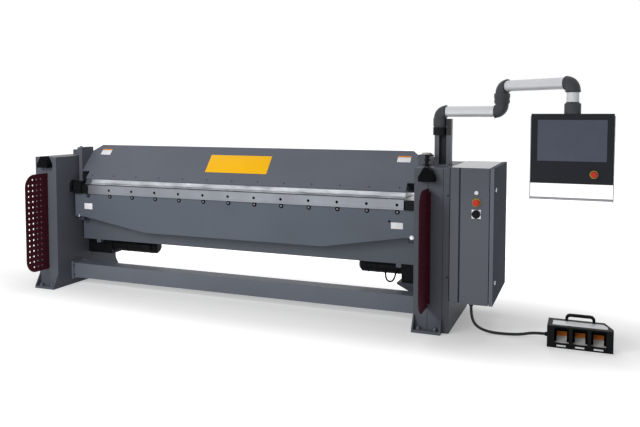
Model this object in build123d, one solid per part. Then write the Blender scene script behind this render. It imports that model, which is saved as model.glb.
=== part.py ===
from build123d import *
import math
import os

os.makedirs("parts", exist_ok=True)

# A motor driven folding machine for sheet metal, in millimetres.
# X runs along the machine, Y from the operator's side to the back, Z up from the floor.
# All values count from the middle of the bend line's length, from the front face of the
# folding beam's plate and from the floor. The last lines move the whole machine so that
# its origin is under the middle of its box.

# Working length and bend line
BLADE_HALF = 1553
BEND_Y = 4
BEND_Z = 957
BED_SETBACK = 6
SHEET_GAP = 6
CLAMP_SETBACK = 6
RUNNING_GAP = 0.4
PIN_PLAY = 0.3

# Columns
COLUMN_INNER = BLADE_HALF + 131
COLUMN_WIDTH = 217
COLUMN_OUTER = COLUMN_INNER + COLUMN_WIDTH
COLUMN_FRONT = -217
COLUMN_DEPTH = 860
COLUMN_BACK = COLUMN_FRONT + COLUMN_DEPTH
COLUMN_HEIGHT = 1227
COLUMN_SEAM_X = COLUMN_INNER + 105
SEAM_WIDTH = 3
SEAM_DEPTH = 4
TOE_REACH = 66
TOE_THICK = 20
GUSSET_HEIGHT = 135
GUSSET_THICK = 12
ANCHOR_RADIUS = 11
ANCHOR_INSET = 45
SIDE_COVER_THICK = 49
SIDE_COVER_EDGE = 6
OUTER_PLATE_THICK = 24
OUTER_PLATE_BOTTOM = 160
COVER_OUTER = COLUMN_OUTER + SIDE_COVER_THICK

# Rail between the columns
RAIL_FRONT = -18
RAIL_DEPTH = 150
RAIL_BOTTOM = 66
RAIL_HEIGHT = 138
RAIL_FLANGE_THICK = 20
RAIL_FLANGE_LIP = 15

# Lower beam and bed
BEAM_FRONT = 120
BEAM_DEPTH = 310
BEAM_BOTTOM = 421
BEAM_END_STEP = 29
BEAM_END_SETBACK = 70
BED_THICK = 60
BED_NOSE = 22
BEAM_LUG_X = COLUMN_INNER - 224
BEAM_LUG_SIZE = 44
BEAM_LUG_DROP = 32
BED_FRONT = BEND_Y + BED_SETBACK
BED_BACK = BEAM_FRONT + BEAM_DEPTH
BEAM_TOP = BEND_Z - BED_THICK

# Folding beam
APRON_HALF = COLUMN_INNER - 32
APRON_THICK = 30
APRON_TOP = BEND_Z - 81
APRON_MID_BOTTOM = 540
APRON_END_BOTTOM = 655
APRON_FLAT_HALF = 870
APRON_SLOPE_END = BLADE_HALF + 2
APRON_BEND_RADIUS = 260
RIB_DEPTH = 55
RIB_THICK = 16
RIB_RISE = 45
STRIP_THICK = 18
STRIP_LEFT = 65 - BLADE_HALF
STRIP_LEDGE_HEIGHT = 12
STRIP_LEDGE_PROUD = 3
EAR_INNER = BLADE_HALF + 9
EAR_RADIUS = 36
PIVOT_BLOCK_DEPTH = 56
PIVOT_BLOCK_DROP = 7
PIVOT_DISC_THICK = 12
PIVOT_RADIUS = 22
BEARING_RADIUS = 42
BEARING_THICK = 22
BEARING_DROP = 68
LUG_WIDTH = 62
LUG_DEPTH = 40
LUG_DROP = 42

# Clamping beam
HOOD_EDGE_Y = 40
HOOD_EDGE_Z = BEND_Z + 58
HOOD_TOP_Y = 306
HOOD_TOP_Z = HOOD_EDGE_Z + 309
HOOD_THICK = 12
HOOD_HALF = COLUMN_INNER - 44
HOOD_TOP_HALF = BLADE_HALF + 2
HOOD_NOTCH_HALF = BLADE_HALF + 2
HOOD_NOTCH_RISE = 88
HOOD_CHAMFER_DROP = 78
CLAMP_TIP_Y = BED_FRONT + CLAMP_SETBACK
CLAMP_TIP_Z = BEND_Z + SHEET_GAP
CLAMP_NOSE_REACH = 24
CLAMP_NOSE_ANGLE = 30
CLAMP_LAND_BACK = 60
CLAMP_BLADE_BACK = 350
CLAMP_BLADE_TOP = BEND_Z + 91
THROAT_HEIGHT = 18
CLAMP_BACK = 430
CLAMP_RIDGE_DEPTH = 40
CLAMP_BACK_TOP = BEND_Z + 223
GUIDE_GAP = 6
GUIDE_FRONT = 92
GUIDE_DEPTH = 168
GUIDE_HEAD_X = COLUMN_INNER + 10
ARM_REACH = 78
ARM_FRONT = 104
ARM_DEPTH = 136
ARM_BOTTOM = COLUMN_HEIGHT + 6
ARM_TOP = ARM_BOTTOM + 51
GUIDE_TOP = ARM_TOP + 23
LIFT_ROD_RADIUS = 14
LIFT_ROD_X = COLUMN_INNER + 38
LIFT_ROD_Y = 180
LIFT_ROD_BOTTOM = COLUMN_HEIGHT - 147
LIFT_BORE_RADIUS = LIFT_ROD_RADIUS + PIN_PLAY
LIFT_BORE_DEPTH = 170
LIFT_NUT_HEIGHT = 20
SCREW_X = COLUMN_INNER + 58
SCREW_Y = -45
SCREW_RADIUS = 12
SCREW_HEIGHT = 65
NUT_CORNERS = 1.8
NUT_HEIGHT = 1.4

# Perforated side guards
GUARD_X = COLUMN_INNER + 101
GUARD_REACH = 284
GUARD_BOTTOM = 182
GUARD_HEIGHT = COLUMN_HEIGHT - 331
GUARD_THICK = 4
GUARD_CORNER = 115
GUARD_FLANGE = 26
HOLE_RADIUS = 9
HOLE_SIDES = 6
HOLE_PITCH = 50
HOLE_COLUMNS = 4
HOLE_EDGE = 42
HOLE_ROWS = int((GUARD_HEIGHT - HOLE_EDGE * 2) // HOLE_PITCH) + 1

# Work lamps on the columns' fronts
LAMP_X = COLUMN_INNER + 103
LAMP_WIDTH = 120
LAMP_DEPTH = 73
LAMP_BOTTOM = COLUMN_HEIGHT - 96
LAMP_SKIRT = 34
LAMP_HEIGHT = 105
LAMP_CROWN = 40
LAMP_EDGE = 5

# Gear motors under the lower beam
MOTOR_Y = 300
MOTOR_ROUND = 24
RIGHT_MOTOR_RADIUS = 61
RIGHT_MOTOR_END = COLUMN_INNER - 580
RIGHT_GEARBOX_X = COLUMN_INNER - 204
RIGHT_GEARBOX_HEIGHT = 174
LEFT_MOTOR_RADIUS = 65
LEFT_MOTOR_END = COLUMN_INNER - 770
LEFT_GEARBOX_X = COLUMN_INNER - 273
LEFT_GEARBOX_HEIGHT = 154
GEARBOX_DEPTH = 150
GEARBOX_EDGE = 8
SHELF_THICK = 13
SHELF_LENGTH = 238
SHELF_DEPTH = 190
BRACE_THICK = 10
BRACE_DROP = 120

# Electric cabinet
CABINET_WIDTH = 284
CABINET_FRONT = -236
CABINET_DEPTH = 800
CABINET_BOTTOM = 242
CABINET_HEIGHT = 996
CABINET_WALL = 4
CABINET_STRIP = 80
CABINET_STEP = 15
CABINET_LEFT = COVER_OUTER
CABINET_RIGHT = CABINET_LEFT + CABINET_WIDTH
CABINET_BACK = CABINET_FRONT + CABINET_DEPTH
CABINET_TOP = CABINET_BOTTOM + CABINET_HEIGHT
DOOR_GAP = 5
DOOR_THICK = 27
DOOR_WALL = 4
DOOR_LEFT = CABINET_RIGHT + DOOR_GAP
DOOR_RIGHT = DOOR_LEFT + DOOR_THICK
HINGE_RADIUS = 7
HINGE_OFFSET = 8
HINGE_LENGTH = 40
HINGE_LEAF = 4
HINGE_X = DOOR_LEFT - 1
HINGE_Y = CABINET_BACK + HINGE_OFFSET
HINGE_HEIGHTS = (CABINET_BOTTOM + 128, CABINET_TOP - 168)
LOCK_RADIUS = 14
LOCK_PROUD = 7
LOCK_SLOT = 3
LOCK_FROM_EDGE = 80
LOCK_HEIGHTS = (CABINET_BOTTOM + 156, CABINET_TOP - 160)

# Controls on the cabinet's front
CONTROL_X = CABINET_LEFT + 194
LAMP_Z = CABINET_TOP - 177
STOP_Z = CABINET_TOP - 248
SWITCH_Z = CABINET_TOP - 332
PILOT_RADIUS = 14
PILOT_PROUD = 12
STOP_COLLAR_RADIUS = 30
STOP_COLLAR_THICK = 8
STOP_HEAD_RADIUS = 24
PANEL_STOP_HEAD_RADIUS = 20
STOP_HEAD_THICK = 14
STOP_HEAD_EDGE = 5
STOP_HEAD_GAP = 5
STOP_STEM_RADIUS = 9
STOP_TRAVEL = 4
SWITCH_PLATE = 64
SWITCH_PLATE_THICK = 4
KNOB_RADIUS = 30
KNOB_THICK = 26
KNOB_BAR = 14
KNOB_BAR_INSET = 2

# Swing arm for the control panel
MAST_X = COLUMN_OUTER - 91
MAST_Y = 94
MAST_LEFT = COLUMN_OUTER - 126
MAST_DEPTH = 70
MAST_BAR = 35
MAST_WEB_SETBACK = 36
MAST_FLANGE_THICK = 10
MAST_FLANGE_LIP = 12
COLLAR_BOTTOM = COLUMN_HEIGHT + 236
COLLAR_TOP = COLLAR_BOTTOM + 63
COLLAR_RADIUS = 52
ELBOW_RADIUS = 48
ELBOW_BEND = 50
ELBOW_LEG = 52
TUBE_RADIUS = 40
LOWER_TUBE_Z = COLLAR_TOP + 119
MAST_POST_TOP = LOWER_TUBE_Z - ELBOW_RADIUS - 7
LOWER_ARM_LENGTH = 481
LOWER_ARM_ANGLE = -10.5
UPPER_ARM_LENGTH = 614
UPPER_ARM_ANGLE = -36
MIDDLE_COLLAR_BOTTOM = LOWER_TUBE_Z + 59
MIDDLE_COLLAR_TOP = MIDDLE_COLLAR_BOTTOM + 74
MIDDLE_COLLAR_RADIUS = 55
UPPER_TUBE_Z = MIDDLE_COLLAR_TOP + 53
DROP_TUBE_TOP = UPPER_TUBE_Z - 61
COUPLING_TOP = DROP_TUBE_TOP - 64
COUPLING_RADIUS = 53
COUPLING_EDGE = 14

# Control panel
PANEL_WIDTH = 514
PANEL_HEIGHT = 464
PANEL_DEPTH = 90
PANEL_TOP = COUPLING_TOP - 78
PANEL_BOTTOM = PANEL_TOP - PANEL_HEIGHT
PANEL_FRONT_FROM_AXIS = 48
PANEL_CHAMFER = 30
SCREEN_WIDTH = 430
SCREEN_HEIGHT = 273
SCREEN_TOP_MARGIN = 41
SCREEN_THICK = 4
PANEL_STOP_X = 141
PANEL_STOP_Z = PANEL_BOTTOM + 66
HANDLE_RADIUS = 8
HANDLE_DROP = 102
HANDLE_STRAP_WIDTH = 16
HANDLE_STRAP_THICK = 5
HANDLE_STUB = 14

# Foot switch and its conduit
FOOT_LEFT = CABINET_RIGHT + 408
FOOT_WIDTH = 428
FOOT_FRONT = -240
FOOT_DEPTH = 200
FOOT_HEIGHT = 153
FOOT_FLOOR = 9
FOOT_ROOF = 9
FOOT_SIDE = 47
FOOT_TAPER_X = 54
FOOT_TAPER_Y = 150
PEDAL_COUNT = 3
BAY_WIDTH = 96
BAY_GAP = 24
BAY_DEPTH = 145
PEDAL_WIDTH = 68
PEDAL_THICK = 12
PEDAL_HINGE_Y = FOOT_FRONT + 40
PEDAL_HINGE_Z = 30
PEDAL_LENGTH = 92
PEDAL_RISE = 34
PEDAL_PIN_RADIUS = 5
CARRY_WIDTH = 200
CARRY_HEIGHT = 48
CARRY_THICK = 20
CARRY_ROUND = 34
CARRY_SHIFT = -2
CONDUIT_RADIUS = 10.5
GLAND_RADIUS = 15
GLAND_LENGTH = 20
CONDUIT_X = CABINET_RIGHT - 124
CONDUIT_Y = -192
CONDUIT_END_Y = -100
CONDUIT_END_Z = 48

# Places that follow from the values above
HOOD_ANGLE = math.degrees(math.atan2(HOOD_TOP_Z - HOOD_EDGE_Z, HOOD_TOP_Y - HOOD_EDGE_Y))
HOOD_SLOPE = math.hypot(HOOD_TOP_Z - HOOD_EDGE_Z, HOOD_TOP_Y - HOOD_EDGE_Y)
HOOD_RUN = math.cos(math.radians(HOOD_ANGLE))
HOOD_RISE = math.sin(math.radians(HOOD_ANGLE))
HOOD_BACK_Y = HOOD_EDGE_Y + HOOD_THICK * HOOD_RISE
HOOD_BACK_Z = HOOD_EDGE_Z - HOOD_THICK * HOOD_RUN
BLADE_TOP_Y = HOOD_BACK_Y + (CLAMP_BLADE_TOP - HOOD_BACK_Z) * HOOD_RUN / HOOD_RISE
ELBOW_2_X = MAST_X + LOWER_ARM_LENGTH * math.cos(math.radians(LOWER_ARM_ANGLE))
ELBOW_2_Y = MAST_Y + LOWER_ARM_LENGTH * math.sin(math.radians(LOWER_ARM_ANGLE))
ELBOW_3_X = ELBOW_2_X + UPPER_ARM_LENGTH * math.cos(math.radians(UPPER_ARM_ANGLE))
ELBOW_3_Y = ELBOW_2_Y + UPPER_ARM_LENGTH * math.sin(math.radians(UPPER_ARM_ANGLE))
PANEL_FRONT = ELBOW_3_Y - PANEL_FRONT_FROM_AXIS
FOOT_RIGHT = FOOT_LEFT + FOOT_WIDTH
FOOT_BACK = FOOT_FRONT + FOOT_DEPTH

MODEL = {}


def block(x0, x1, y0, y1, z0, z1):
    """A box between two corners, given in any order."""
    middle = Pos((x0 + x1) / 2, (y0 + y1) / 2, (z0 + z1) / 2)
    return middle * Box(abs(x1 - x0), abs(y1 - y0), abs(z1 - z0))


def rod(start, end, radius):
    """A round bar between two points on its axis."""
    start = Vector(*start)
    end = Vector(*end)
    plane = Plane(origin=start, z_dir=end - start)
    return extrude(plane * Circle(radius), (end - start).length)


def side_profile(points, x0, x1):
    """An outline given as Y and Z pairs, extruded along X."""
    face = Plane.YZ.offset(x0) * Polygon(*points, align=None)
    return extrude(face, x1 - x0, dir=(1, 0, 0))


def mirrored(shape):
    """The same piece on the machine's left side."""
    return mirror(shape, about=Plane.YZ)


def both_sides(name, shape):
    """One node for each side of the machine."""
    MODEL["right_" + name] = shape
    MODEL["left_" + name] = mirrored(shape)


def pair(shape):
    """Two like pieces, one on each side, for one node."""
    return Compound([shape, mirrored(shape)])


def bay_middle(number):
    """The middle of one pedal bay, counted from the left."""
    return FOOT_LEFT + FOOT_SIDE + BAY_WIDTH / 2 + number * (BAY_WIDTH + BAY_GAP)


def column():
    """A box column with a toe plate and two gussets at its front and back."""
    body = block(COLUMN_INNER, COLUMN_OUTER, COLUMN_FRONT, COLUMN_BACK, 0, COLUMN_HEIGHT)
    body -= block(COLUMN_SEAM_X, COLUMN_SEAM_X + SEAM_WIDTH, COLUMN_FRONT, COLUMN_FRONT + SEAM_DEPTH,
                  TOE_THICK, COLUMN_HEIGHT)
    for face, out in ((COLUMN_FRONT, -1), (COLUMN_BACK, 1)):
        tip = face + out * TOE_REACH
        body += block(COLUMN_INNER, COLUMN_OUTER, face, tip, 0, TOE_THICK)
        triangle = [(face, TOE_THICK), (tip, TOE_THICK), (face, GUSSET_HEIGHT)]
        body += side_profile(triangle, COLUMN_INNER, COLUMN_INNER + GUSSET_THICK)
        body += side_profile(triangle, COLUMN_OUTER - GUSSET_THICK, COLUMN_OUTER)
        for x in (COLUMN_INNER + ANCHOR_INSET, COLUMN_OUTER - ANCHOR_INSET):
            y = face + out * TOE_REACH / 2
            body -= rod((x, y, -1), (x, y, TOE_THICK + 1), ANCHOR_RADIUS)
    bore_floor = COLUMN_HEIGHT - LIFT_BORE_DEPTH
    body -= rod((LIFT_ROD_X, LIFT_ROD_Y, bore_floor), (LIFT_ROD_X, LIFT_ROD_Y, COLUMN_HEIGHT + 1),
                LIFT_BORE_RADIUS)
    return body


def left_column():
    """The left column, with the thick plate on its outer side."""
    plate = block(-COLUMN_OUTER, -COLUMN_OUTER - OUTER_PLATE_THICK, COLUMN_FRONT, COLUMN_BACK,
                  OUTER_PLATE_BOTTOM, COLUMN_HEIGHT)
    return mirrored(column()) + plate


def side_cover():
    """The cover on the right column's outer side, which carries the cabinet."""
    cover = block(COLUMN_OUTER, COVER_OUTER, COLUMN_FRONT, COLUMN_BACK, 0, COLUMN_HEIGHT)
    corners = cover.edges().filter_by(Axis.Z).group_by(Axis.X)[-1]
    return fillet(corners, SIDE_COVER_EDGE)


def base_rail():
    """The rail that ties the two columns near the floor, with a bolted flange at each end."""
    rail_back = RAIL_FRONT + RAIL_DEPTH
    rail_top = RAIL_BOTTOM + RAIL_HEIGHT
    rail = block(-COLUMN_INNER, COLUMN_INNER, RAIL_FRONT, rail_back, RAIL_BOTTOM, rail_top)
    for side in (-1, 1):
        rail += block(side * COLUMN_INNER, side * (COLUMN_INNER - RAIL_FLANGE_THICK),
                      RAIL_FRONT - RAIL_FLANGE_LIP, rail_back + RAIL_FLANGE_LIP,
                      RAIL_BOTTOM - RAIL_FLANGE_LIP, rail_top + RAIL_FLANGE_LIP)
    return rail


def lower_beam():
    """The box beam that carries the bed, set back at its ends, with a small lug under each."""
    front_half = COLUMN_INNER - BEAM_END_STEP
    beam = block(-front_half, front_half, BEAM_FRONT, BED_BACK, BEAM_BOTTOM, BEAM_TOP)
    beam += block(-COLUMN_INNER, COLUMN_INNER, BEAM_FRONT + BEAM_END_SETBACK, BED_BACK, BEAM_BOTTOM, BEAM_TOP)
    for side in (-1, 1):
        lug = block(side * BEAM_LUG_X, side * (BEAM_LUG_X + BEAM_LUG_SIZE), BEAM_FRONT,
                    BEAM_FRONT + BEAM_LUG_SIZE, BEAM_BOTTOM - BEAM_LUG_DROP, BEAM_BOTTOM)
        beam += chamfer(lug.edges().filter_by(Axis.Y).group_by(Axis.Z)[0], BEAM_LUG_DROP / 4)
    return beam


def bed():
    """The bed that the sheet lies on, tapered to its front edge."""
    outline = [
        (BED_FRONT, BEND_Z),
        (BED_FRONT, BEND_Z - BED_NOSE),
        (BEAM_FRONT, BEAM_TOP),
        (BED_BACK, BEAM_TOP),
        (BED_BACK, BEND_Z),
    ]
    return side_profile(outline, -BLADE_HALF, BLADE_HALF)


def apron_plate():
    """The folding beam's front plate, deepest along its middle, with two ribs welded behind it."""
    outline = Polygon(
        (-APRON_HALF, APRON_TOP),
        (-APRON_HALF, APRON_END_BOTTOM),
        (-APRON_SLOPE_END, APRON_END_BOTTOM),
        (-APRON_FLAT_HALF, APRON_MID_BOTTOM),
        (APRON_FLAT_HALF, APRON_MID_BOTTOM),
        (APRON_SLOPE_END, APRON_END_BOTTOM),
        (APRON_HALF, APRON_END_BOTTOM),
        (APRON_HALF, APRON_TOP),
        align=None,
    )
    low_corners = outline.vertices().group_by(Axis.Y)[0]
    outline = fillet(low_corners, APRON_BEND_RADIUS)
    plate = extrude(Plane.XZ * outline, APRON_THICK, dir=(0, 1, 0))
    back = APRON_THICK + RIB_DEPTH
    low = APRON_MID_BOTTOM + RIB_RISE
    plate += block(-APRON_FLAT_HALF, APRON_FLAT_HALF, APRON_THICK, back, low, low + RIB_THICK)
    high = APRON_END_BOTTOM + RIB_RISE
    plate += block(-APRON_SLOPE_END, APRON_SLOPE_END, APRON_THICK, back, high, high + RIB_THICK)
    return plate


def strip_outline():
    """The section of the folding beam's steel strip, with a ledge along its foot."""
    front = BEND_Y - STRIP_THICK
    ledge_front = front - STRIP_LEDGE_PROUD
    return [
        (BEND_Y, BEND_Z),
        (front, BEND_Z),
        (front, APRON_TOP + STRIP_LEDGE_HEIGHT),
        (ledge_front, APRON_TOP + STRIP_LEDGE_HEIGHT),
        (ledge_front, APRON_TOP),
        (BEND_Y, APRON_TOP),
    ]


def apron_blade():
    """The ground steel strip on the folding beam, with its top at the bend line's height."""
    return side_profile(strip_outline(), STRIP_LEFT, BLADE_HALF)


def left_pivot():
    """The left end's upright pivot block with its pin, and the strip's end piece beside it."""
    ear = block(-EAR_INNER, -APRON_HALF, BEND_Y - EAR_RADIUS, BEND_Y + EAR_RADIUS, APRON_TOP, BEND_Z)
    ear += rod((-EAR_INNER, BEND_Y, BEND_Z), (-APRON_HALF, BEND_Y, BEND_Z), EAR_RADIUS)
    ear += rod((-APRON_HALF, BEND_Y, BEND_Z), (RUNNING_GAP - COLUMN_INNER, BEND_Y, BEND_Z), PIVOT_RADIUS)
    return ear + side_profile(strip_outline(), -EAR_INNER, STRIP_LEFT)


def right_pivot():
    """The right end's low pivot block, with a disc at its outer end that carries the pin."""
    half = PIVOT_BLOCK_DEPTH / 2
    disc_inner = APRON_HALF - PIVOT_DISC_THICK
    low = block(EAR_INNER, APRON_HALF, BEND_Y - half, BEND_Y + half, APRON_TOP, BEND_Z - PIVOT_BLOCK_DROP)
    low = chamfer(low.edges().filter_by(Axis.X).group_by(Axis.Z)[-1], PIVOT_BLOCK_DROP)
    low += rod((disc_inner, BEND_Y, BEND_Z), (APRON_HALF, BEND_Y, BEND_Z), EAR_RADIUS)
    low += rod((APRON_HALF, BEND_Y, BEND_Z), (COLUMN_INNER - RUNNING_GAP, BEND_Y, BEND_Z), PIVOT_RADIUS)
    return low


def pivot_bearing():
    """The arched bearing block on the column's inner face around the folding beam's pin."""
    inner = COLUMN_INNER - BEARING_THICK
    ring = rod((inner, BEND_Y, BEND_Z), (COLUMN_INNER, BEND_Y, BEND_Z), BEARING_RADIUS)
    ring += block(inner, COLUMN_INNER, BEND_Y - BEARING_RADIUS, BEND_Y + BEARING_RADIUS,
                  BEND_Z - BEARING_DROP, BEND_Z)
    ring -= rod((inner - 1, BEND_Y, BEND_Z), (COLUMN_INNER + 1, BEND_Y, BEND_Z), PIVOT_RADIUS + PIN_PLAY)
    return ring


def drive_lug():
    """The lug under the folding beam's end where its drive takes hold."""
    outer = APRON_HALF - GUSSET_THICK
    lug = block(outer - LUG_WIDTH, outer, APRON_THICK, APRON_THICK + LUG_DEPTH,
                APRON_END_BOTTOM - LUG_DROP, APRON_END_BOTTOM + LUG_DROP)
    return fillet(lug.edges().filter_by(Axis.X).group_by(Axis.Z)[0], LUG_DEPTH / 3)


def blade_outline():
    """The section of the deep clamping bar, with a sharp nose over the bed's front edge."""
    knee_z = CLAMP_TIP_Z + CLAMP_NOSE_REACH * math.tan(math.radians(CLAMP_NOSE_ANGLE))
    floor_z = BEND_Z + THROAT_HEIGHT
    return [
        (CLAMP_TIP_Y, CLAMP_TIP_Z),
        (CLAMP_TIP_Y + CLAMP_NOSE_REACH, knee_z),
        (HOOD_BACK_Y, HOOD_BACK_Z),
        (BLADE_TOP_Y, CLAMP_BLADE_TOP),
        (CLAMP_BLADE_BACK, CLAMP_BLADE_TOP),
        (CLAMP_BLADE_BACK, floor_z),
        (CLAMP_LAND_BACK, floor_z),
        (CLAMP_LAND_BACK, CLAMP_TIP_Z),
    ]


def clamp_blade():
    """The polished clamping bar under the hood plate."""
    return side_profile(blade_outline(), STRIP_LEFT, BLADE_HALF)


def clamp_core():
    """The clamping beam's box above and behind the bar, cut clear at its low front corners."""
    top_y = HOOD_BACK_Y + (HOOD_SLOPE - HOOD_CHAMFER_DROP) * HOOD_RUN
    top_z = HOOD_BACK_Z + (HOOD_SLOPE - HOOD_CHAMFER_DROP) * HOOD_RISE
    floor_z = BEND_Z + THROAT_HEIGHT
    outline = [
        (BLADE_TOP_Y, CLAMP_BLADE_TOP),
        (top_y, top_z),
        (top_y + CLAMP_RIDGE_DEPTH, top_z),
        (CLAMP_BACK, CLAMP_BACK_TOP),
        (CLAMP_BACK, floor_z),
        (CLAMP_BLADE_BACK, floor_z),
        (CLAMP_BLADE_BACK, CLAMP_BLADE_TOP),
    ]
    core = side_profile(outline, -HOOD_HALF, HOOD_HALF)
    notch_z = HOOD_EDGE_Z + HOOD_NOTCH_RISE * HOOD_RISE
    for side in (-1, 1):
        core -= block(side * HOOD_NOTCH_HALF, side * (HOOD_HALF + 1), HOOD_EDGE_Y, CLAMP_BLADE_BACK,
                      floor_z, notch_z)
    return core + side_profile(blade_outline(), -BLADE_HALF, STRIP_LEFT)


def hood_plate():
    """The sloping front plate of the clamping beam, with chamfered and notched ends."""
    chamfer_start = HOOD_SLOPE - HOOD_CHAMFER_DROP
    right_edge = [
        (HOOD_NOTCH_HALF, 0),
        (HOOD_NOTCH_HALF, HOOD_NOTCH_RISE),
        (HOOD_HALF, HOOD_NOTCH_RISE),
        (HOOD_HALF, chamfer_start),
        (HOOD_TOP_HALF, HOOD_SLOPE),
    ]
    left_edge = [(-x, s) for x, s in reversed(right_edge)]
    outline = Polygon(*right_edge, *left_edge, align=None)
    normal = Vector(0, -HOOD_RISE, HOOD_RUN)
    slope = Plane(origin=(0, HOOD_EDGE_Y, HOOD_EDGE_Z), x_dir=(1, 0, 0), z_dir=normal)
    return extrude(slope * outline, -HOOD_THICK)


def clamp_guide():
    """The upright on the clamping beam's end and its arm over the column."""
    outer = COLUMN_INNER - GUIDE_GAP
    floor_z = BEND_Z + THROAT_HEIGHT
    guide = block(HOOD_HALF, outer, GUIDE_FRONT, GUIDE_FRONT + GUIDE_DEPTH, floor_z, GUIDE_TOP)
    guide += block(HOOD_HALF, GUIDE_HEAD_X, GUIDE_FRONT, GUIDE_FRONT + GUIDE_DEPTH, ARM_BOTTOM, GUIDE_TOP)
    guide += block(outer, outer + ARM_REACH, ARM_FRONT, ARM_FRONT + ARM_DEPTH, ARM_BOTTOM, ARM_TOP)
    guide -= rod((LIFT_ROD_X, LIFT_ROD_Y, ARM_BOTTOM - 1), (LIFT_ROD_X, LIFT_ROD_Y, ARM_TOP + 1),
                 LIFT_ROD_RADIUS)
    return guide


def lift_rod():
    """The rod that lifts the clamping beam's arm out of the column, with its nut."""
    shaft_top = ARM_TOP + LIFT_NUT_HEIGHT * 1.5
    shaft = rod((LIFT_ROD_X, LIFT_ROD_Y, LIFT_ROD_BOTTOM), (LIFT_ROD_X, LIFT_ROD_Y, shaft_top),
                LIFT_ROD_RADIUS)
    nut = Pos(LIFT_ROD_X, LIFT_ROD_Y, ARM_TOP) * extrude(RegularPolygon(LIFT_ROD_RADIUS * NUT_CORNERS, 6),
                                                         LIFT_NUT_HEIGHT)
    return shaft + nut


def adjusting_screw():
    """The short threaded stud with a lock nut on the column's top."""
    top = COLUMN_HEIGHT + SCREW_HEIGHT
    stud = rod((SCREW_X, SCREW_Y, COLUMN_HEIGHT), (SCREW_X, SCREW_Y, top), SCREW_RADIUS)
    hexagon = RegularPolygon(SCREW_RADIUS * NUT_CORNERS, 6)
    low_nut = Pos(SCREW_X, SCREW_Y, COLUMN_HEIGHT) * extrude(hexagon, SCREW_RADIUS * NUT_HEIGHT)
    high_nut = Pos(SCREW_X, SCREW_Y, top - SCREW_RADIUS * 2) * extrude(hexagon, SCREW_RADIUS * NUT_HEIGHT)
    return stud + low_nut + high_nut


def guard():
    """A perforated plate that stands forward of the column, with a flange on its front."""
    tip = COLUMN_FRONT - GUARD_REACH
    top = GUARD_BOTTOM + GUARD_HEIGHT
    outline = Polygon((COLUMN_FRONT, GUARD_BOTTOM), (tip, GUARD_BOTTOM), (tip, top),
                      (COLUMN_FRONT, top), align=None)
    outline = fillet(outline.vertices().group_by(Axis.X)[0], GUARD_CORNER)
    plate = extrude(Plane.YZ.offset(GUARD_X) * outline, GUARD_THICK, dir=(1, 0, 0))
    first_y = tip + HOLE_EDGE
    first_z = GUARD_BOTTOM + (GUARD_HEIGHT - (HOLE_ROWS - 1) * HOLE_PITCH) / 2
    corner_y = tip + GUARD_CORNER
    for column_number in range(HOLE_COLUMNS):
        for row_number in range(HOLE_ROWS):
            y = first_y + column_number * HOLE_PITCH
            z = first_z + row_number * HOLE_PITCH
            over = max(GUARD_BOTTOM + GUARD_CORNER - z, z - (top - GUARD_CORNER), 0)
            beside = max(corner_y - y, 0)
            if math.hypot(over, beside) > GUARD_CORNER - HOLE_RADIUS * 2:
                continue
            hole = Plane.YZ.offset(GUARD_X - 1) * Pos(y, z) * RegularPolygon(HOLE_RADIUS, HOLE_SIDES)
            plate -= extrude(hole, GUARD_THICK + 2, dir=(1, 0, 0))
    plate += block(GUARD_X, GUARD_X + GUARD_FLANGE, COLUMN_FRONT, COLUMN_FRONT - GUARD_THICK,
                   GUARD_BOTTOM + GUARD_CORNER / 4, top - GUARD_CORNER / 4)
    return plate


def work_lamp():
    """A lamp housing on the column's front, wide below and narrow at its crown."""
    back = COLUMN_FRONT
    shoulder_z = LAMP_BOTTOM + LAMP_SKIRT
    skirt = block(LAMP_X - LAMP_WIDTH / 2, LAMP_X + LAMP_WIDTH / 2, back - LAMP_DEPTH, back,
                  LAMP_BOTTOM, shoulder_z)
    base = Pos(LAMP_X, back - LAMP_DEPTH / 2, shoulder_z) * Rectangle(LAMP_WIDTH, LAMP_DEPTH)
    crown = Pos(LAMP_X, back - LAMP_DEPTH / 2, LAMP_BOTTOM + LAMP_HEIGHT) * Rectangle(LAMP_CROWN, LAMP_DEPTH)
    lamp = skirt + loft([base, crown])
    front_edges = lamp.edges().group_by(Axis.Y)[0]
    return chamfer(front_edges, LAMP_EDGE)


def gear_motor(radius, end_x, gearbox_x, gearbox_height):
    """A motor lying under the lower beam with its gearbox at the column."""
    axis_z = BEAM_BOTTOM - radius - RUNNING_GAP
    motor = rod((end_x, MOTOR_Y, axis_z), (gearbox_x, MOTOR_Y, axis_z), radius)
    motor = chamfer(motor.edges().group_by(Axis.X)[0], MOTOR_ROUND)
    gearbox = block(gearbox_x, COLUMN_INNER, MOTOR_Y - GEARBOX_DEPTH / 2, MOTOR_Y + GEARBOX_DEPTH / 2,
                    BEAM_BOTTOM - gearbox_height, BEAM_BOTTOM)
    gearbox = chamfer(gearbox.edges().filter_by(Axis.X).group_by(Axis.Z)[0], GEARBOX_EDGE)
    return motor + gearbox


def motor_shelf():
    """The shelf under the right gearbox with two sloping braces to the column."""
    top = BEAM_BOTTOM - RIGHT_GEARBOX_HEIGHT
    tip_x = COLUMN_INNER - SHELF_LENGTH
    front = MOTOR_Y - SHELF_DEPTH / 2
    back = MOTOR_Y + SHELF_DEPTH / 2
    low = top - SHELF_THICK
    shelf = block(tip_x, COLUMN_INNER, front, back, low, top)
    triangle = Polygon((tip_x, low), (COLUMN_INNER, low), (COLUMN_INNER, low - BRACE_DROP), align=None)
    for y in (front, back - BRACE_THICK):
        shelf += extrude(Plane.XZ.offset(-y) * triangle, BRACE_THICK, dir=(0, 1, 0))
    return shelf


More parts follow.
